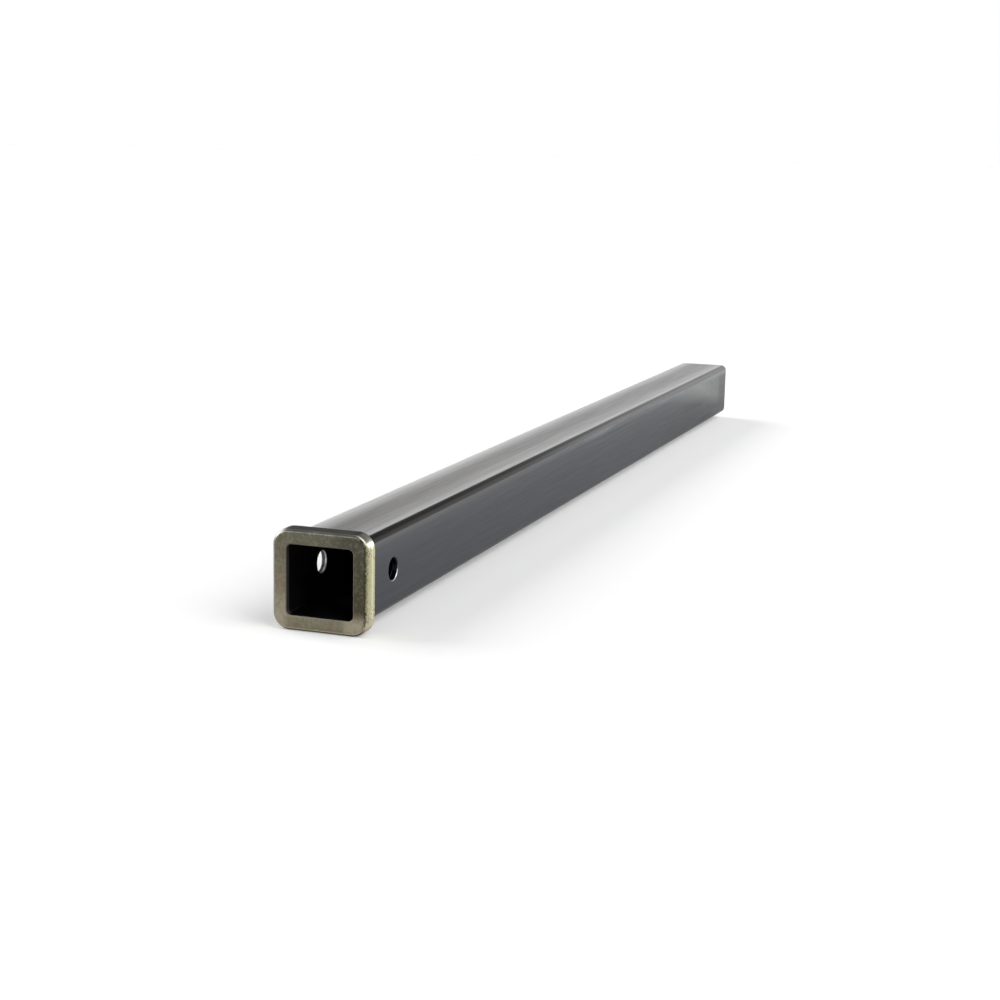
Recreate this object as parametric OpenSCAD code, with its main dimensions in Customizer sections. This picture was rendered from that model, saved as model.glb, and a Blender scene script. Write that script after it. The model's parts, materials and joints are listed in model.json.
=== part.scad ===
// Receiver tube of a vehicle hitch: a long square steel tube whose mouth is
// closed round by a thick collar. A bar slides in through the mouth and is
// held by a pin through the cross hole.
//
// The origin is the centre of the pin hole, on the tube's axis. The tube runs
// along Y with its mouth towards -Y, and the pin hole runs along X.

/* [Tube] */
// Overall length, from the collar's front face to the sawn rear end
overall_length = 1219.2; // [300:0.1:1830]
// Outside width and height of the square tube
tube_size = 63.5; // [50:0.1:80]
// Thickness of the tube's wall
tube_wall = 4.75; // [3:0.05:6.35]
// Radius of the tube's outside corners
tube_corner_radius = 6.8; // [4:0.1:12]

/* [Pin hole] */
// Diameter of the hole that crosses both side walls
pin_hole_diameter = 17.5; // [12:0.1:24]
// Distance from the collar's front face back to the hole's centre
pin_hole_setback = 63.5; // [45:0.1:120]
// Width of the broken edge at each rim of the hole
pin_hole_break = 0.55; // [0.1:0.05:1.2]

/* [Collar] */
// Thickness of the collar's wall round the outside of the tube
collar_wall = 6.3; // [4:0.1:12]
// Depth of the collar, from its front face to its back edge
collar_depth = 14.3; // [10:0.1:30]
// Radius of the collar's outside corners
collar_corner_radius = 12.7; // [8:0.1:20]
// Radius of the round along the collar's front edge
collar_front_round = 3; // [1:0.1:4]
// Radius of the smaller round along the collar's back edge
collar_back_round = 1; // [0.3:0.1:3]
// Thickness of the lip that covers the end of the tube
lip_thickness = 4.8; // [2:0.1:8]
// Play between the tube and its seat in the collar, on each side
seat_clearance = 0.05; // [0.02:0.01:0.3]

/* [Mouth] */
// How far the lip stands in from the tube's bore, on each side
lip_overhang = 0.25; // [0.1:0.05:1.5]
// Radius of the mouth's corners
mouth_corner_radius = 4; // [2:0.1:8]
// Width of the broken edge round the mouth
mouth_break = 0.5; // [0.1:0.05:1.5]

/* [Hidden] */
$fn = 96;

// Extra length that lets a cut pass clear through a face
overcut = 1;
// Smallest radius that a drawn tube's inside corner has
least_corner_radius = 0.5;

// The tube's bore keeps the wall's thickness round the corners
bore_size = tube_size - 2 * tube_wall;
bore_corner_radius = max(tube_corner_radius - tube_wall, least_corner_radius);

// The collar fits round the tube, and its mouth stands just inside the bore
seat_size = tube_size + 2 * seat_clearance;
seat_corner_radius = tube_corner_radius + seat_clearance;
collar_size = seat_size + 2 * collar_wall;
mouth_size = bore_size - 2 * lip_overhang;

// Places along the tube
face_y = -pin_hole_setback;
tube_front_y = face_y + lip_thickness;
tube_back_y = face_y + overall_length;

// A square with round corners, centred on the origin
module rounded_square(size, radius) {
    straight = size - 2 * radius;
    square([size, straight], center = true);
    square([straight, size], center = true);
    for (x = [-1, 1], y = [-1, 1])
        translate([x, y] * straight / 2)
            circle(radius);
}

// Turns a shape that stands on the XY plane so that its height runs along +Y
module along_tube(start_y) {
    translate([0, start_y, 0])
        rotate([-90, 0, 0])
            children();
}

// A cone that breaks the rim of the pin hole. Its wide end breaks out of a
// face at height 0, and its narrow end meets the hole below the face.
module pin_hole_rim() {
    radius = pin_hole_diameter / 2;
    translate([0, 0, -pin_hole_break])
        cylinder(h = pin_hole_break + overcut, r1 = radius, r2 = radius + pin_hole_break + overcut);
}

// The pin hole through both side walls, with all four of its rims broken
module pin_hole() {
    rotate([0, 90, 0])
        cylinder(h = tube_size + 2 * overcut, d = pin_hole_diameter, center = true);
    for (side = [0, 1])
        mirror([side, 0, 0]) {
            translate([tube_size / 2, 0, 0])
                rotate([0, 90, 0])
                    pin_hole_rim();
            translate([bore_size / 2, 0, 0])
                rotate([0, -90, 0])
                    pin_hole_rim();
        }
}

module receiver_tube() {
    color([0.42, 0.42, 0.44])
        difference() {
            along_tube(tube_front_y)
                linear_extrude(tube_back_y - tube_front_y)
                    rounded_square(tube_size, tube_corner_radius);
            along_tube(tube_front_y - overcut)
                linear_extrude(tube_back_y - tube_front_y + 2 * overcut)
                    rounded_square(bore_size, bore_corner_radius);
            pin_hole();
        }
}

// Half of the collar's outline across its depth, from the middle out to reach.
// The front edge is at height 0 and the back edge at the collar's depth.
module collar_outline(reach) {
    front = collar_front_round;
    back = collar_back_round;
    square([reach - front, collar_depth - back]);
    translate([0, front])
        square([reach - back, collar_depth - front]);
    translate([0, front])
        square([reach, collar_depth - front - back]);
    translate([reach - front, front])
        circle(front);
    translate([reach - back, collar_depth - back])
        circle(back);
}

// The solid collar before its mouth and seat are cut. The outline is extruded
// along the straight sides and revolved at the corners, so both edge rounds
// run all the way round.
module collar_blank() {
    straight = collar_size - 2 * collar_corner_radius;
    for (turn = [0, 90])
        rotate([90, 0, turn])
            linear_extrude(straight, center = true)
                for (side = [0, 1])
                    mirror([side, 0])
                        collar_outline(collar_size / 2);
    for (x = [-1, 1], y = [-1, 1])
        translate([x, y, 0] * straight / 2)
            rotate_extrude()
                collar_outline(collar_corner_radius);
}

// The slanted cut that breaks the front edge of the mouth
module mouth_bevel() {
    straight = mouth_size - 2 * mouth_corner_radius;
    narrow = mouth_size / 2;
    wide = narrow + mouth_break + overcut;
    for (turn = [0, 90])
        rotate([90, 0, turn])
            linear_extrude(straight, center = true)
                polygon([[-wide, -overcut], [wide, -overcut], [narrow, mouth_break], [-narrow, mouth_break]]);
    for (x = [-1, 1], y = [-1, 1])
        translate([x * straight / 2, y * straight / 2, -overcut])
            cylinder(
                h = mouth_break + overcut,
                r1 = mouth_corner_radius + mouth_break + overcut,
                r2 = mouth_corner_radius
            );
}

module mouth_collar() {
    color([0.60, 0.57, 0.42])
        along_tube(face_y)
            difference() {
                collar_blank();
                mouth_bevel();
                translate([0, 0, -overcut])
                    linear_extrude(lip_thickness + 2 * overcut)
                        rounded_square(mouth_size, mouth_corner_radius);
                translate([0, 0, lip_thickness])
                    linear_extrude(collar_depth - lip_thickness + overcut)
                        rounded_square(seat_size, seat_corner_radius);
            }
}

receiver_tube();
mouth_collar();
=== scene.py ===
"""Looks of the receiver tube: bare dark steel, a yellow-green plated collar, and a white studio."""
import json
import math

import bpy
from mathutils import Matrix, Vector


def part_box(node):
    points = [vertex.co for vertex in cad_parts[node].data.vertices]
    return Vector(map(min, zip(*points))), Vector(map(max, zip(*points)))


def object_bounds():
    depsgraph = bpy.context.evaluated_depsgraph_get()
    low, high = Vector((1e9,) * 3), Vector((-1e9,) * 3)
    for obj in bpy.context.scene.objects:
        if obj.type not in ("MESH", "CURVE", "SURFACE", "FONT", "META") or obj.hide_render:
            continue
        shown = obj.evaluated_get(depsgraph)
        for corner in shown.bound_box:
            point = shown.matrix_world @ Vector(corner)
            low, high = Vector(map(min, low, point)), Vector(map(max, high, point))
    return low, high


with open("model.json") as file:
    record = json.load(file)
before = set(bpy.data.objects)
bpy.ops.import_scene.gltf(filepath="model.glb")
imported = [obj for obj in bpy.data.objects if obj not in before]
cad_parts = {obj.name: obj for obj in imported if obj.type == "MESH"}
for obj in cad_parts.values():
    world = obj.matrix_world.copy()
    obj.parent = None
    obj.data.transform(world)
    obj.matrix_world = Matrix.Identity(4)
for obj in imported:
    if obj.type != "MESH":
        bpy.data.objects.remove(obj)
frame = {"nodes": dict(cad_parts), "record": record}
cad_box = [list(corner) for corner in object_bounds()]

tube_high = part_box("receiver_tube")[1]
collar_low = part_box("mouth_collar")[0]

# Sizes of the construction, in metres. They tell the materials where a surface lies. MARGIN keeps a
# test clear of the surface that it looks for.
FACE_Y = collar_low[1]
REAR_END = tube_high[1]
TUBE_HALF = tube_high[0]
WALL = 0.00475
CORNER_RADIUS = 0.0068
LIP_OVERHANG = 0.00025
BORE_HALF = TUBE_HALF - WALL
FLAT_HALF = TUBE_HALF - CORNER_RADIUS
MOUTH_HALF = BORE_HALF - LIP_OVERHANG
MOUTH_BREAK = 0.0005
PIN_HOLE = next(mount for mount in frame["record"]["mounts"] if mount["name"] == "pin_hole")
PIN_HOLE_RADIUS = PIN_HOLE["dims"]["r_mm"] / 1000
PIN_HOLE_BREAK = 0.00055
BURR_DEPTH = 0.0017
MARGIN = 0.0002

# How often a noise repeats in a metre, along X, Y and Z. The DRAWN ones are stretched along the tube.
DRAWN_STREAKS = (260.0, 2.5, 260.0)
DRAWN_CLOUDS = (70.0, 14.0, 70.0)
DRAWN_FLECKS = (90.0, 9.0, 90.0)
DRAWN_GRAIN = (900.0, 12.0, 900.0)
DRILL_CHATTER = (700.0, 700.0, 700.0)
SAW_MARKS = (30.0, 30.0, 1400.0)
FACE_FILM = (55.0, 55.0, 55.0)
FACE_CLOUDS = (38.0, 38.0, 38.0)
FACE_MOTTLE = (450.0, 450.0, 450.0)
RIM_FILM = (60.0, 60.0, 60.0)
RIM_SPECKLE = (850.0, 850.0, 850.0)
PAPER_TOOTH = (40.0, 40.0, 40.0)
NOISE_ROUGHNESS = 0.55

# How far a bump stands proud, in metres, and the slope that turns the collar's sides to the front.
GRAIN_HEIGHT = 0.000004
SPECKLE_HEIGHT = 0.00005
SIDE_LEAN = 0.17

# The camera, as the photograph's edges give it. The mouth's centre is its reference.
IMAGE_WIDTH_PX = 1000
SENSOR_WIDTH_MM = 36.0
FOCAL_PX = 1812.6
CAMERA_FROM_MOUTH = Vector((0.5449, -1.1703, 0.3154))
CAMERA_YAW = math.radians(19.168)
CAMERA_PITCH = math.radians(11.062)
CAMERA_ROLL = math.radians(1.177)
NEAREST_SEEN = 0.01
FARTHEST_SEEN = 200.0

# The studio. A level of 1 is white, and the angles are heights above the horizon.
FLOOR_HALF = 60.0
FLOOR_ALBEDO = 0.88
FLOOR_TOOTH = 0.01
FLOOR_LIFT = 0.11
HORIZON_TOP = math.radians(12)
DOME_START = math.radians(22)
DOME_LEVEL = 0.13
OVERHEAD_START = math.radians(60)
OVERHEAD_FULL = math.radians(74)
OVERHEAD_LEVEL = 0.75
PANEL_TARGET = Vector((0.0, -0.06, 0.0))


class Graph:
    """A node tree with short calls for the nodes that the materials share."""

    def __init__(self, tree):
        self.tree = tree

    def node(self, kind, **settings):
        made = self.tree.nodes.new(kind)
        for name, value in settings.items():
            setattr(made, name, value)
        return made

    def put(self, socket, value):
        """Joins value to the socket, or sets it there if it is a plain number or colour."""
        if isinstance(value, bpy.types.NodeSocket):
            self.tree.links.new(value, socket)
        else:
            socket.default_value = value

    def math(self, operation, *values):
        made = self.node("ShaderNodeMath", operation=operation)
        for socket, value in zip(made.inputs, values):
            self.put(socket, value)
        return made.outputs[0]

    def plus(self, a, b):
        return self.math("ADD", a, b)

    def times(self, *values):
        """The product of all the values."""
        product = values[0]
        for value in values[1:]:
            product = self.math("MULTIPLY", product, value)
        return product

    def size(self, value):
        """The value without its sign."""
        return self.math("ABSOLUTE", value)

    def length(self, a, b):
        """How long the line with the steps a and b is."""
        return self.math("SQRT", self.plus(self.times(a, a), self.times(b, b)))

    def rest(self, share):
        """What a share leaves of one."""
        return self.math("SUBTRACT", 1.0, share)

    def above(self, value, limit):
        """One where value is over limit, and zero elsewhere."""
        return self.math("GREATER_THAN", value, limit)

    def below(self, value, limit):
        """One where value is under limit, and zero elsewhere."""
        return self.math("LESS_THAN", value, limit)

    def ramp(self, value, low, high, out_low=0.0, out_high=1.0, smooth=True):
        """Maps value from low..high to out_low..out_high, and holds it past the ends."""
        made = self.node("ShaderNodeMapRange", interpolation_type="SMOOTHSTEP" if smooth else "LINEAR")
        self.put(made.inputs["Value"], value)
        self.put(made.inputs["From Min"], low)
        self.put(made.inputs["From Max"], high)
        self.put(made.inputs["To Min"], out_low)
        self.put(made.inputs["To Max"], out_high)
        return made.outputs[0]

    def mix(self, share, a, b):
        """A colour between a and b, with this share of b."""
        made = self.node("ShaderNodeMix", data_type="RGBA")
        self.put(made.inputs["Factor"], share)
        self.put(made.inputs[6], a)
        self.put(made.inputs[7], b)
        return made.outputs[2]

    def blend(self, share, a, b):
        """A number between a and b, with this share of b."""
        made = self.node("ShaderNodeMix", data_type="FLOAT")
        self.put(made.inputs["Factor"], share)
        self.put(made.inputs[2], a)
        self.put(made.inputs[3], b)
        return made.outputs[0]

    def bump(self, height):
        """A normal bent by a height in metres."""
        made = self.node("ShaderNodeBump")
        made.inputs["Distance"].default_value = 1.0
        made.inputs["Strength"].default_value = 1.0
        self.put(made.inputs["Height"], height)
        return made.outputs[0]

    def place(self):
        """The surface's own place in the frame, in metres, as a vector."""
        return self.node("ShaderNodeTexCoord").outputs["Object"]

    def facing(self):
        """The direction that the surface faces, as a vector of length one."""
        return self.node("ShaderNodeTexCoord").outputs["Normal"]

    def split(self, vector):
        """A vector's X, Y and Z."""
        parts = self.node("ShaderNodeSeparateXYZ")
        self.put(parts.inputs[0], vector)
        return parts.outputs[0], parts.outputs[1], parts.outputs[2]

    def noise(self, place, repeats, detail=3.0):
        """Noise from 0 to 1 that repeats so often in a metre along X, Y and Z."""
        stretch = self.node("ShaderNodeMapping")
        self.put(stretch.inputs["Vector"], place)
        stretch.inputs["Scale"].default_value = repeats
        made = self.node("ShaderNodeTexNoise")
        self.put(made.inputs["Vector"], stretch.outputs[0])
        made.inputs["Scale"].default_value = 1.0
        made.inputs["Detail"].default_value = detail
        made.inputs["Roughness"].default_value = NOISE_ROUGHNESS
        return made.outputs[0]

    def swing(self, noise, reach):
        """The noise moved to lie evenly about zero, and made reach wide."""
        return self.times(self.math("SUBTRACT", noise, 0.5), reach)


def new_material(name):
    """A material with one Principled shader: (material, graph, shader)."""
    material = bpy.data.materials.new(name)
    material.use_nodes = True
    graph = Graph(material.node_tree)
    shader = next(n for n in material.node_tree.nodes if n.type == "BSDF_PRINCIPLED")
    return material, graph, shader


def rgba(red, green, blue):
    return (red, green, blue, 1.0)


def grey(level):
    return rgba(level, level, level)


# A ramp's numbers are in the unit of what it maps: metres for places, and plain shares for noise and
# for turned, right and up, which tell how far a rounded surface is turned away from the collar's face.
def corner_shade_tone(g, y, z):
    """The tube's rounded corners, painted as shade: darkest near the mouth and beside the side walls,
    lighter towards the crest.
    """
    front_foot = rgba(0.016, 0.014, 0.012)
    front_crest = rgba(0.060, 0.057, 0.054)
    rear_foot = rgba(0.129, 0.131, 0.131)
    rear_crest = grey(0.190)

    crest = g.ramp(z, FLAT_HALF + 0.0030, FLAT_HALF + 0.0048)
    to_rear = g.ramp(y, 0.26, 0.62)
    front = g.mix(crest, front_foot, front_crest)
    rear = g.mix(crest, rear_foot, rear_crest)
    return g.mix(to_rear, front, rear)


def lying_tone(g, place, streaks, corner):
    """The top and bottom walls: darkest a little left of the middle, painted lighter towards both edges,
    with a painted highlight along each edge and a painted glint at the corners.
    """
    rear_core = grey(0.105)
    brown_core = rgba(0.136, 0.118, 0.105)
    olive_core = rgba(0.123, 0.125, 0.108)
    edge_painted_light = rgba(0.310, 0.306, 0.302)
    edge_painted_highlight = rgba(0.540, 0.536, 0.532)
    rear_glint = grey(0.53)
    front_glint = rgba(0.82, 0.81, 0.80)
    left_painted_highlight = grey(0.83)
    core_offset = 0.003

    x, y, z = g.split(place)
    across = g.math("MINIMUM", g.size(x), g.size(z))
    near_front = g.ramp(y, 0.05, 0.70, 1.0, 0.0)
    olive = g.ramp(g.noise(place, DRAWN_CLOUDS, detail=1.0), 0.40, 0.60)
    tone = g.mix(near_front, rear_core, g.mix(olive, brown_core, olive_core))

    # Painted light: lighter towards both edges, broken by the drawn streaks, then a painted highlight along
    # each edge and a painted glint where the wall turns into its corner.
    off_core = g.math("DIVIDE", g.size(g.plus(x, core_offset)), FLAT_HALF)
    pale = g.ramp(g.plus(off_core, g.swing(streaks, 0.6)), 0.15, 0.90)
    tone = g.mix(pale, tone, edge_painted_light)
    edge_highlight = g.ramp(across, 0.68 * FLAT_HALF, FLAT_HALF)
    tone = g.mix(edge_highlight, tone, edge_painted_highlight)
    glint = g.ramp(across, FLAT_HALF - 0.0010, FLAT_HALF + 0.0008)
    tone = g.mix(glint, tone, g.mix(near_front, rear_glint, front_glint))

    # A painted highlight along the left edge, weaker towards the rear.
    to_left = g.ramp(x, -0.009, -0.029, smooth=False)
    less_at_rear = g.ramp(y, 0.0, 0.9, 1.0, 0.35)
    tone = g.mix(g.times(to_left, less_at_rear), tone, left_painted_highlight)
    # The right corner takes the corners' painted shade.
    in_corner = g.ramp(across, FLAT_HALF + 0.0011, FLAT_HALF + 0.0017)
    return g.mix(g.times(in_corner, g.above(x, 0.0)), tone, corner)


def standing_tone(g, place, streaks, corner, patch):
    """The side walls: even blue-grey, painted a little lighter above, with a painted reflected line under a
    dark rounded corner painted as shade, a painted reflection near the rear and painted shade at the foot.
    """
    front_core = rgba(0.066, 0.069, 0.078)
    rear_core = rgba(0.043, 0.047, 0.053)
    upper_grey = rgba(0.080, 0.083, 0.091)
    front_reflected_line = rgba(0.114, 0.115, 0.119)
    rear_reflected_line = rgba(0.290, 0.298, 0.293)
    blue_fleck = rgba(0.160, 0.176, 0.196)
    patch_painted_reflection = rgba(0.105, 0.118, 0.112)
    foot_painted_shade = rgba(0.058, 0.060, 0.065)

    _, y, z = g.split(place)
    to_rear = g.ramp(y, 0.75, 1.05)
    core = g.mix(to_rear, front_core, rear_core)
    # Painted light: the wall is lighter above.
    upper_start = g.ramp(y, 0.20, 0.70, 0.006, -0.002)
    upper = g.ramp(g.plus(z, g.swing(streaks, 0.006)), upper_start, 0.021)
    tone = g.mix(upper, core, upper_grey)

    # A painted reflection: a light line under the corner, much stronger at the rear, with blue flecks on
    # it.
    line = g.ramp(z, 0.0200, 0.0250)
    line_to_rear = g.ramp(y, 0.95, 1.08)
    tone = g.mix(line, tone, g.mix(line_to_rear, front_reflected_line, rear_reflected_line))
    flecks = g.ramp(g.noise(place, DRAWN_FLECKS, detail=1.0), 0.34, 0.60)
    past_front = g.ramp(y, 0.30, 0.55)
    before_rear = g.ramp(y, 0.98, 0.90)
    tone = g.mix(g.times(line, flecks, past_front, before_rear), tone, blue_fleck)
    # The patch of painted reflection near the rear.
    tone = g.mix(patch, tone, patch_painted_reflection)

    # The corner's painted shade, and painted shade at the foot.
    in_corner = g.ramp(z, FLAT_HALF + 0.0006, FLAT_HALF + 0.0026)
    tone = g.mix(in_corner, tone, corner)
    at_foot = g.ramp(z, -FLAT_HALF, -FLAT_HALF - 0.001)
    return g.mix(at_foot, tone, foot_painted_shade)


def rear_reflection_patch(g, x, y, z):
    """Where the right wall is smoother and carries a painted reflection of the lit floor past the rear end:
    its upper half, near the rear end.
    """
    edge_height = 0.0148
    edge_slope = 0.13
    slope_start = 0.87

    drop = g.times(g.math("SUBTRACT", y, slope_start), edge_slope)
    over_edge = g.plus(g.math("SUBTRACT", z, edge_height), drop)
    upward = g.ramp(over_edge, 0.0, 0.024, smooth=False)
    most_at_rear = g.ramp(y, 0.98, 1.10, 1.0, 0.60)
    strength = g.math("MINIMUM", upward, most_at_rear)
    past_front = g.ramp(y, 0.70, 0.90)
    less_at_end = g.ramp(y, REAR_END - 0.050, REAR_END - 0.030, 1.0, 0.45)
    return g.times(strength, past_front, less_at_end, g.above(x, 0.0))


def pin_hole_tone(g, place, from_axis):
    """The pin hole: a dull wall, painted as shade in the right hole, with a painted highlight on the burr
    in the left hole, and a painted highlight on the rim at its low rear.
    """
    left_wall = rgba(0.085, 0.085, 0.090)
    right_wall_shade = rgba(0.014, 0.014, 0.018)
    burr_highlight = rgba(0.55, 0.55, 0.56)
    dull_rim = rgba(0.050, 0.050, 0.052)
    rim_highlight = rgba(0.62, 0.62, 0.63)

    x, y, z = g.split(place)
    # The right hole's wall is painted near black as shade; the left hole's burr carries a painted
    # highlight.
    wall = g.mix(g.above(x, 0.0), left_wall, right_wall_shade)
    burr = g.times(g.below(g.size(x), BORE_HALF + BURR_DEPTH), g.below(x, 0.0))
    wall = g.mix(burr, wall, burr_highlight)
    # A painted highlight on the rim at the low rear, ragged with the drill's chatter.
    chatter = g.swing(g.noise(place, DRILL_CHATTER, detail=2.0), 0.010)
    low = g.ramp(g.plus(z, chatter), 0.001, -0.004)
    behind = g.ramp(y, -0.0055, 0.0005)
    rim = g.mix(g.times(low, behind), dull_rim, rim_highlight)
    on_rim = g.above(from_axis, PIN_HOLE_RADIUS + MARGIN / 2)
    return g.mix(on_rim, wall, rim)


def sawn_tone(g, place):
    """The rear end: bright metal with fine level saw marks."""
    groove = rgba(0.40, 0.40, 0.41)
    crest = rgba(0.52, 0.52, 0.53)
    marks = g.ramp(g.noise(place, SAW_MARKS, detail=2.0), 0.35, 0.65)
    return g.mix(marks, groove, crest)


def mill_steel():
    """Bare drawn steel under a thin dark scale, with light and shade painted into its walls and corners,
    its bore painted as shade, and painted highlights where the pin hole was cut.
    """
    bore_painted_shade = rgba(0.022, 0.020, 0.021)
    bore_roughness = 0.5
    patch_roughness = 0.20

    material, g, shader = new_material("mill_steel")
    place = g.place()
    x, y, z = g.split(place)
    outward = g.math("MAXIMUM", g.size(x), g.size(z))
    lying = g.ramp(g.math("SUBTRACT", g.size(z), g.size(x)), -0.002, 0.002)
    standing = g.rest(lying)
    inside = g.below(outward, BORE_HALF + MARGIN)
    streaks = g.noise(place, DRAWN_STREAKS, detail=4.0)
    corner = corner_shade_tone(g, y, z)
    patch = rear_reflection_patch(g, x, y, z)

    side = standing_tone(g, place, streaks, corner, patch)
    top = lying_tone(g, place, streaks, corner)
    tone = g.mix(lying, side, top)
    # The bore is painted near black as shade.
    tone = g.mix(inside, tone, bore_painted_shade)
    from_axis = g.length(y, z)
    near_hole = g.below(from_axis, PIN_HOLE_RADIUS + PIN_HOLE_BREAK + MARGIN)
    cut = g.times(near_hole, g.above(outward, BORE_HALF - MARGIN))
    tone = g.mix(cut, tone, pin_hole_tone(g, place, from_axis))
    sawn = g.above(y, REAR_END - MARGIN)
    tone = g.mix(sawn, tone, sawn_tone(g, place))
    g.put(shader.inputs["Base Color"], tone)
    shader.inputs["Metallic"].default_value = 1.0
    shader.inputs["Specular Tint"].default_value = grey(0.85)

    grain = g.noise(place, DRAWN_GRAIN)
    side_skin = g.ramp(grain, 0.3, 0.7, 0.38, 0.46, smooth=False)
    top_skin = g.ramp(grain, 0.3, 0.7, 0.20, 0.27, smooth=False)
    below_corner = g.ramp(z, FLAT_HALF + 0.0004, FLAT_HALF + 0.0020, 1.0, 0.0)
    skin = g.blend(g.times(standing, below_corner), top_skin, side_skin)
    skin = g.blend(g.times(patch, standing), skin, patch_roughness)
    g.put(shader.inputs["Roughness"], g.blend(inside, skin, bore_roughness))
    g.put(shader.inputs["Normal"], g.bump(g.times(grain, GRAIN_HEIGHT)))
    return material


def face_tone(g, place):
    """The collar's milled face: mottled olive, brown and pink clouds, painted darker right and top as
    shade, and painted lighter low as light.
    """
    brown = rgba(0.179, 0.151, 0.111)
    olive = rgba(0.172, 0.168, 0.107)
    pink = rgba(0.182, 0.143, 0.109)
    low_painted_light = rgba(0.250, 0.222, 0.160)
    foot_tan = rgba(0.290, 0.260, 0.195)
    right_painted_shade = rgba(0.062, 0.054, 0.037)
    face_top_painted_shade = rgba(0.075, 0.078, 0.060)
    pale_spot = rgba(0.40, 0.37, 0.26)
    dark_spot = rgba(0.040, 0.040, 0.022)

    x, _, z = g.split(place)
    film = g.ramp(g.noise(place, FACE_FILM, detail=2.0), 0.35, 0.65)
    clouds = g.ramp(g.noise(place, FACE_CLOUDS, detail=1.0), 0.55, 0.75)
    tone = g.mix(clouds, g.mix(film, brown, olive), pink)

    # Painted light: lighter below the middle, and a lighter tan at the lower corners.
    under_middle = g.ramp(z, -0.002, -0.020)
    over_foot = g.ramp(z, -0.032, -0.022, 0.1, 1.0)
    tone = g.mix(g.times(under_middle, over_foot), tone, low_painted_light)
    at_foot = g.ramp(z, -0.017, -0.028)
    far_right = g.ramp(x, 0.016, 0.023)
    far_left = g.ramp(x, -0.024, -0.031)
    tone = g.mix(g.times(g.math("MAXIMUM", far_right, far_left), at_foot), tone, foot_tan)

    # Painted shade: darker to the right and towards the top.
    to_right = g.ramp(x, -0.005, 0.026)
    off_foot = g.ramp(z, -0.030, -0.018)
    tone = g.mix(g.times(to_right, off_foot), tone, right_painted_shade)
    to_top = g.ramp(z, -0.010, 0.034, 0.0, 0.55)
    tone = g.mix(to_top, tone, face_top_painted_shade)

    mottle = g.noise(place, FACE_MOTTLE, detail=2.0)
    pale_spots = g.ramp(mottle, 0.48, 0.66, 0.0, 0.10)
    dark_spots = g.ramp(mottle, 0.52, 0.34, 0.0, 0.18)
    tone = g.mix(pale_spots, tone, pale_spot)
    return g.mix(dark_spots, tone, dark_spot)


def right_rim_tone(g, z, behind_face, up, film, speckle):
    """The rim's right side: specked yellow-green, tan at its foot, painted lighter below the middle, with a
    painted glint towards the tube and painted shade at the lower corner.
    """
    yellow = rgba(0.57, 0.53, 0.35)
    green = rgba(0.54, 0.56, 0.31)
    pale_yellow_light = rgba(0.88, 0.86, 0.55)
    dark_speck = rgba(0.13, 0.14, 0.07)
    upper_grey = rgba(0.56, 0.55, 0.47)
    pale_glint = rgba(0.88, 0.86, 0.66)
    foot_tan = rgba(0.66, 0.57, 0.41)
    lower_corner_shade = rgba(0.28, 0.24, 0.18)

    tone = g.mix(film, yellow, green)
    # Painted light: lighter below the middle.
    downward = g.ramp(z, 0.004, -0.024, 0.0, 0.40)
    tone = g.mix(downward, tone, pale_yellow_light)
    specks = g.ramp(speckle, 0.50, 0.36)
    near_corners = g.ramp(g.size(z), 0.010, 0.022, 0.40, 0.85)
    tone = g.mix(g.times(specks, near_corners), tone, dark_speck)
    upper_corner = g.ramp(up, 0.25, 0.60)
    tone = g.mix(upper_corner, tone, upper_grey)
    # A painted glint: a thin light line round the rim about ten millimetres behind the face.
    glint_front = g.ramp(behind_face, 0.0070, 0.0095)
    glint_back = g.ramp(behind_face, 0.0113, 0.0099)
    tone = g.mix(g.times(glint_front, glint_back, 0.5), tone, pale_glint)
    at_foot = g.ramp(z, -0.023, -0.030)
    tone = g.mix(at_foot, tone, foot_tan)
    # Painted shade at the lower corner.
    lower_corner = g.ramp(up, -0.30, -0.72)
    return g.mix(lower_corner, tone, lower_corner_shade)


def left_rim_tone(g, turned, up):
    """The rim's left side: dull brown to olive, with a painted highlight along the ridge round its upper
    corner.
    """
    ridge_brown = rgba(0.27, 0.25, 0.22)
    side_olive = rgba(0.47, 0.44, 0.32)
    corner_ridge_highlight = rgba(0.85, 0.84, 0.76)
    corner_grey = rgba(0.20, 0.20, 0.18)

    # A painted highlight on the ridge of the upper corner, greyer past it.
    past_side_ridge = g.ramp(turned, 0.75, 0.98)
    past_corner_ridge = g.ramp(turned, 0.50, 0.85)
    side = g.mix(past_side_ridge, ridge_brown, side_olive)
    corner = g.mix(past_corner_ridge, corner_ridge_highlight, corner_grey)
    upper_corner = g.ramp(up, 0.2, 0.7)
    return g.mix(upper_corner, side, corner)


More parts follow.
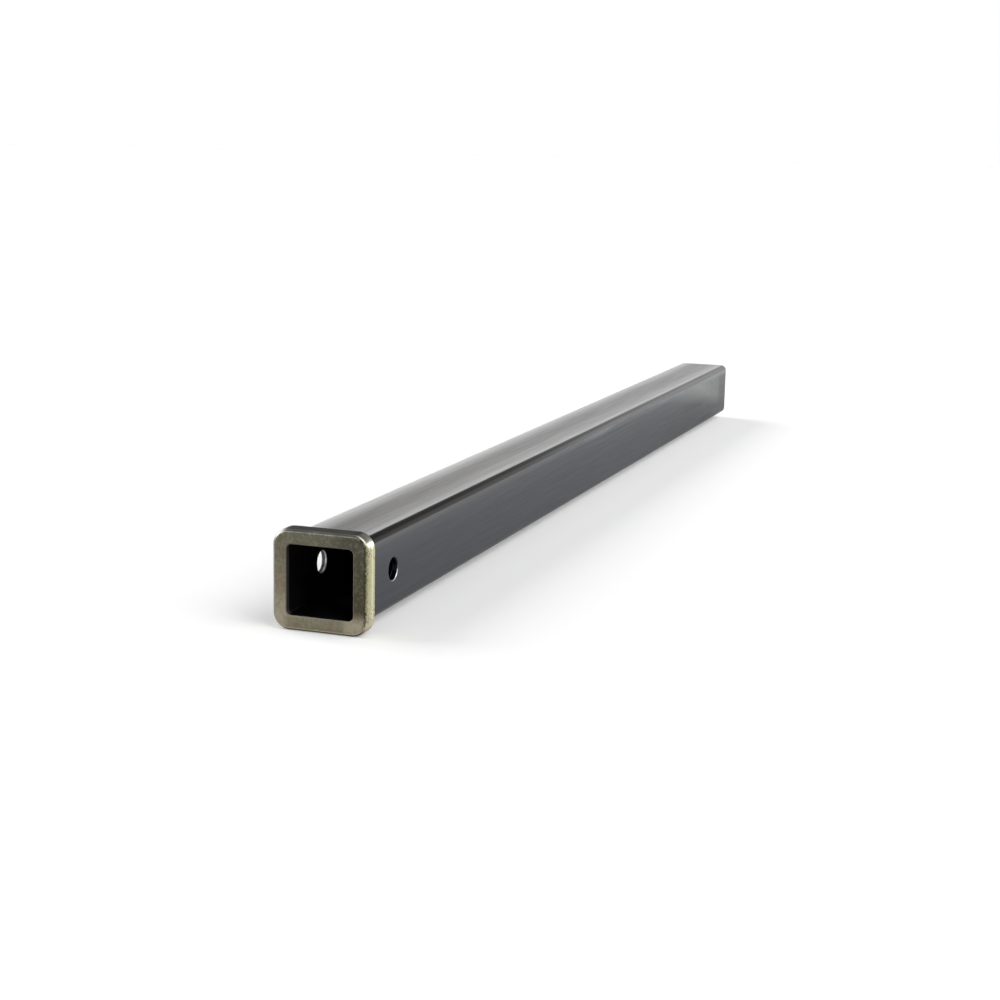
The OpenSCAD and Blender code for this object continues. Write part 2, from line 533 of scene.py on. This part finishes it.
def rim_tone(g, place, behind_face, turned, right, up, speckle):
    """The collar's rounded rim, partly the plating's own colour and partly painted light and shade: bright
    to the right, greyer to the left and top, with painted highlights on the top and bottom ridges, and dark
    underneath as painted shade.
    """
    ridge_highlight_grey = rgba(0.34, 0.33, 0.29)
    ridge_highlight_pale = rgba(0.50, 0.49, 0.43)
    rim_top_shade = rgba(0.155, 0.153, 0.140)
    low_ridge_highlight = rgba(0.42, 0.38, 0.28)
    underside_shade = rgba(0.020, 0.018, 0.012)

    _, _, z = g.split(place)
    film = g.ramp(g.noise(place, RIM_FILM, detail=2.0), 0.35, 0.65)
    # Painted shade: the left side is painted duller than the right.
    to_right = g.ramp(right, -0.3, 0.3)
    left_side = left_rim_tone(g, turned, up)
    right_side = right_rim_tone(g, z, behind_face, up, film, speckle)
    tone = g.mix(to_right, left_side, right_side)

    # On top, a painted highlight along the ridge and painted shade past it.
    past_top_ridge = g.ramp(turned, 0.35, 0.97, smooth=False)
    top = g.mix(past_top_ridge, g.mix(film, ridge_highlight_grey, ridge_highlight_pale), rim_top_shade)
    to_top = g.ramp(up, 0.90, 0.995)
    tone = g.mix(to_top, tone, top)
    # Underneath, a painted highlight on the low ridge and painted shade past it.
    past_low_ridge = g.ramp(turned, 0.46, 0.72)
    near_face = g.ramp(behind_face, 0.0040, 0.0030)
    bottom = g.mix(g.times(past_low_ridge, near_face), low_ridge_highlight, underside_shade)
    to_bottom = g.ramp(up, -0.50, -0.85)
    return g.mix(to_bottom, tone, bottom)


def rim_share(g, turned, behind_face, to_right, at_foot, speckle):
    """How far the rim's look replaces the face's: along a ragged line, and slowly on the right."""
    ragged = g.plus(turned, g.swing(speckle, 0.7))
    right_start = g.ramp(g.plus(ragged, g.times(at_foot, 0.25)), 0.38, 1.0, smooth=False)
    weak_at_face = g.ramp(behind_face, 0.0015, 0.0085, 0.72, 1.0)
    right_rim = g.times(right_start, weak_at_face)
    other_rim = g.ramp(ragged, 0.13, 0.43)
    off_face = g.ramp(turned, 0.02, 0.10)
    return g.times(g.blend(to_right, other_rim, right_rim), off_face)


def mouth_tone(g, turned, right, up):
    """The mouth: a bevel painted palest where it faces up and lighter where it faces left, as light and
    shade, and a dark wall behind it painted as shade, lighter where it faces right.
    """
    bevel = rgba(0.130, 0.120, 0.110)
    bevel_facing_up = rgba(0.38, 0.36, 0.32)
    bevel_facing_right = rgba(0.150, 0.135, 0.115)
    bevel_facing_left = rgba(0.30, 0.28, 0.25)
    wall = rgba(0.020, 0.016, 0.014)
    wall_facing_right = rgba(0.100, 0.082, 0.070)

    upward = g.ramp(up, 0.3, 0.7)
    to_right = g.ramp(right, 0.3, 0.6)
    to_left = g.ramp(right, -0.3, -0.7)
    # Painted light and shade on the bevel and the wall, by the way each faces.
    bevel_tone = g.mix(upward, bevel, bevel_facing_up)
    bevel_tone = g.mix(to_right, bevel_tone, bevel_facing_right)
    bevel_tone = g.mix(to_left, bevel_tone, bevel_facing_left)
    wall_tone = g.mix(to_right, wall, wall_facing_right)
    on_wall = g.above(turned, 0.9)
    return g.mix(on_wall, bevel_tone, wall_tone)


def zinc_collar():
    """Steel with a thin yellow-green plating: olive on the milled face, bright on the rounded sides, partly
    the plating's own colour and partly painted shade on the face and painted light on the sides.
    """
    pit_black = rgba(0.035, 0.033, 0.012)
    pit_strength = 0.9
    mouth_roughness = 0.6

    material, g, shader = new_material("zinc_collar")
    place = g.place()
    x, y, z = g.split(place)
    behind_face = g.math("SUBTRACT", y, FACE_Y)
    facing_x, _, facing_z = g.split(g.facing())
    turned = g.length(facing_x, facing_z)
    not_zero = g.math("MAXIMUM", turned, 0.001)
    right = g.math("DIVIDE", facing_x, not_zero)
    up = g.math("DIVIDE", facing_z, not_zero)
    to_right = g.ramp(right, 0.2, 0.8)
    at_foot = g.ramp(z, -0.026, -0.035)
    speckle = g.noise(place, RIM_SPECKLE)

    on_rim = rim_share(g, turned, behind_face, to_right, at_foot, speckle)
    rim = rim_tone(g, place, behind_face, turned, right, up, speckle)
    tone = g.mix(on_rim, face_tone(g, place), rim)
    pitted = g.ramp(speckle, 0.62, 0.42)
    off_face = g.ramp(turned, 0.03, 0.12)
    before_side = g.ramp(turned, 0.98, 0.35)
    pits = g.times(pitted, off_face, before_side, to_right, g.rest(at_foot), pit_strength)
    tone = g.mix(pits, tone, pit_black)

    outward = g.math("MAXIMUM", g.size(x), g.size(z))
    within_break = g.below(outward, MOUTH_HALF + MOUTH_BREAK + MARGIN)
    in_mouth = g.times(within_break, g.above(turned, 0.3))
    tone = g.mix(in_mouth, tone, mouth_tone(g, turned, right, up))
    g.put(shader.inputs["Base Color"], tone)
    shader.inputs["Metallic"].default_value = 1.0
    satin = g.ramp(speckle, 0.3, 0.7, 0.28, 0.38, smooth=False)
    g.put(shader.inputs["Roughness"], g.blend(in_mouth, satin, mouth_roughness))
    height = g.plus(g.times(y, SIDE_LEAN), g.times(speckle, SPECKLE_HEIGHT))
    g.put(shader.inputs["Normal"], g.bump(height))
    return material


def paper_white():
    """The floor: matt white paper with a faint tooth. The lift takes it to the backdrop's white."""
    material, g, shader = new_material("paper_white")
    tooth = g.noise(g.place(), PAPER_TOOTH)
    tone = g.mix(tooth, grey(FLOOR_ALBEDO), grey(FLOOR_ALBEDO + FLOOR_TOOTH))
    g.put(shader.inputs["Base Color"], tone)
    shader.inputs["Roughness"].default_value = 1.0
    shader.inputs["Specular IOR Level"].default_value = 0.0
    path = g.node("ShaderNodeLightPath")
    seen = g.math("MAXIMUM", path.outputs["Is Camera Ray"], path.outputs["Is Glossy Ray"])
    seen = g.math("MAXIMUM", seen, path.outputs["Is Transmission Ray"])
    shader.inputs["Emission Color"].default_value = grey(1.0)
    g.put(shader.inputs["Emission Strength"], g.times(seen, FLOOR_LIFT))
    return material


def dress(node, material):
    """Gives every slot of a CAD node the material."""
    slots = node.data.materials
    if not slots:
        slots.append(material)
    for index in range(len(slots)):
        slots[index] = material


def add_floor(height):
    """A level sheet so wide that its edge is lost in the white."""
    sides = ((-1, -1), (1, -1), (1, 1), (-1, 1))
    corners = [(side_x * FLOOR_HALF, side_y * FLOOR_HALF, height) for side_x, side_y in sides]
    mesh = bpy.data.meshes.new("floor")
    mesh.from_pydata(corners, [], [(0, 1, 2, 3)])
    mesh.materials.append(paper_white())
    floor = bpy.data.objects.new("floor", mesh)
    bpy.context.scene.collection.objects.link(floor)


def direction(azimuth, elevation):
    """The unit vector towards a point in the sky, in degrees: azimuth from +X towards +Y."""
    turn = math.radians(azimuth)
    rise = math.radians(elevation)
    return Vector((math.cos(turn) * math.cos(rise), math.sin(turn) * math.cos(rise), math.sin(rise)))


def aim(lamp_object, towards):
    """Turns a lamp so that it shines from the given direction."""
    lamp_object.rotation_euler = towards.to_track_quat("Z", "Y").to_euler()


def add_soft_sun(name, azimuth, elevation, width, strength):
    """A distant round soft light, width degrees across. strength is the light on a face turned to it."""
    lamp = bpy.data.lights.new(name, "SUN")
    lamp.energy = strength
    lamp.angle = math.radians(width)
    sun = bpy.data.objects.new(name, lamp)
    aim(sun, direction(azimuth, elevation))
    bpy.context.scene.collection.objects.link(sun)


def add_panel(name, place, width, height, radiance):
    """A soft flat light that faces the collar. radiance is how bright its face looks, where 1 is white."""
    lamp = bpy.data.lights.new(name, "AREA")
    lamp.shape = "RECTANGLE"
    lamp.size = width
    lamp.size_y = height
    lamp.energy = radiance * math.pi * width * height
    panel = bpy.data.objects.new(name, lamp)
    panel.visible_camera = False
    panel.location = place
    aim(panel, Vector(place) - PANEL_TARGET)
    bpy.context.scene.collection.objects.link(panel)


def add_world():
    """A studio sweep: white along the horizon, grey above it, and a soft light patch overhead."""
    world = bpy.data.worlds.new("studio")
    world.use_nodes = True
    bpy.context.scene.world = world
    g = Graph(world.node_tree)
    background = next(n for n in world.node_tree.nodes if n.type == "BACKGROUND")
    sky_place = g.node("ShaderNodeTexCoord").outputs["Generated"]
    rise = g.split(sky_place)[2]
    level = g.ramp(rise, math.sin(HORIZON_TOP), math.sin(DOME_START), 1.0, DOME_LEVEL)
    overhead = g.ramp(rise, math.sin(OVERHEAD_START), math.sin(OVERHEAD_FULL), 0.0, OVERHEAD_LEVEL)
    g.put(background.inputs["Strength"], g.math("MAXIMUM", level, overhead))
    background.inputs["Color"].default_value = grey(1.0)


def add_camera(mouth):
    """The camera of the photograph, placed from the middle of the collar's mouth."""
    camera_data = bpy.data.cameras.new("camera")
    camera_data.sensor_fit = "HORIZONTAL"
    camera_data.sensor_width = SENSOR_WIDTH_MM
    camera_data.lens = FOCAL_PX * SENSOR_WIDTH_MM / IMAGE_WIDTH_PX
    camera_data.clip_start = NEAREST_SEEN
    camera_data.clip_end = FARTHEST_SEEN
    camera = bpy.data.objects.new("camera", camera_data)
    turn = Matrix.Rotation(CAMERA_YAW, 4, "Z") @ Matrix.Rotation(math.pi / 2 - CAMERA_PITCH, 4, "X")
    turn = turn @ Matrix.Rotation(CAMERA_ROLL, 4, "Z")
    camera.matrix_world = Matrix.Translation(mouth + CAMERA_FROM_MOUTH) @ turn
    bpy.context.scene.collection.objects.link(camera)
    bpy.context.scene.camera = camera


add_camera(Vector((0.0, FACE_Y, 0.0)))
add_world()
add_soft_sun("right_key", azimuth=-12, elevation=47, width=50, strength=1.8)
add_soft_sun("left_key", azimuth=172, elevation=30, width=46, strength=2.0)
add_panel("front_panel", place=(-1.3, -1.5, 0.60), width=1.0, height=0.5, radiance=1.2)
add_panel("back_panel", place=(1.9, 1.6, 0.72), width=0.75, height=0.6, radiance=9.0)
add_floor(cad_box[0][2])

dress(frame["nodes"]["receiver_tube"], mill_steel())
dress(frame["nodes"]["mouth_collar"], zinc_collar())

bpy.context.scene.view_settings.view_transform = "Standard"
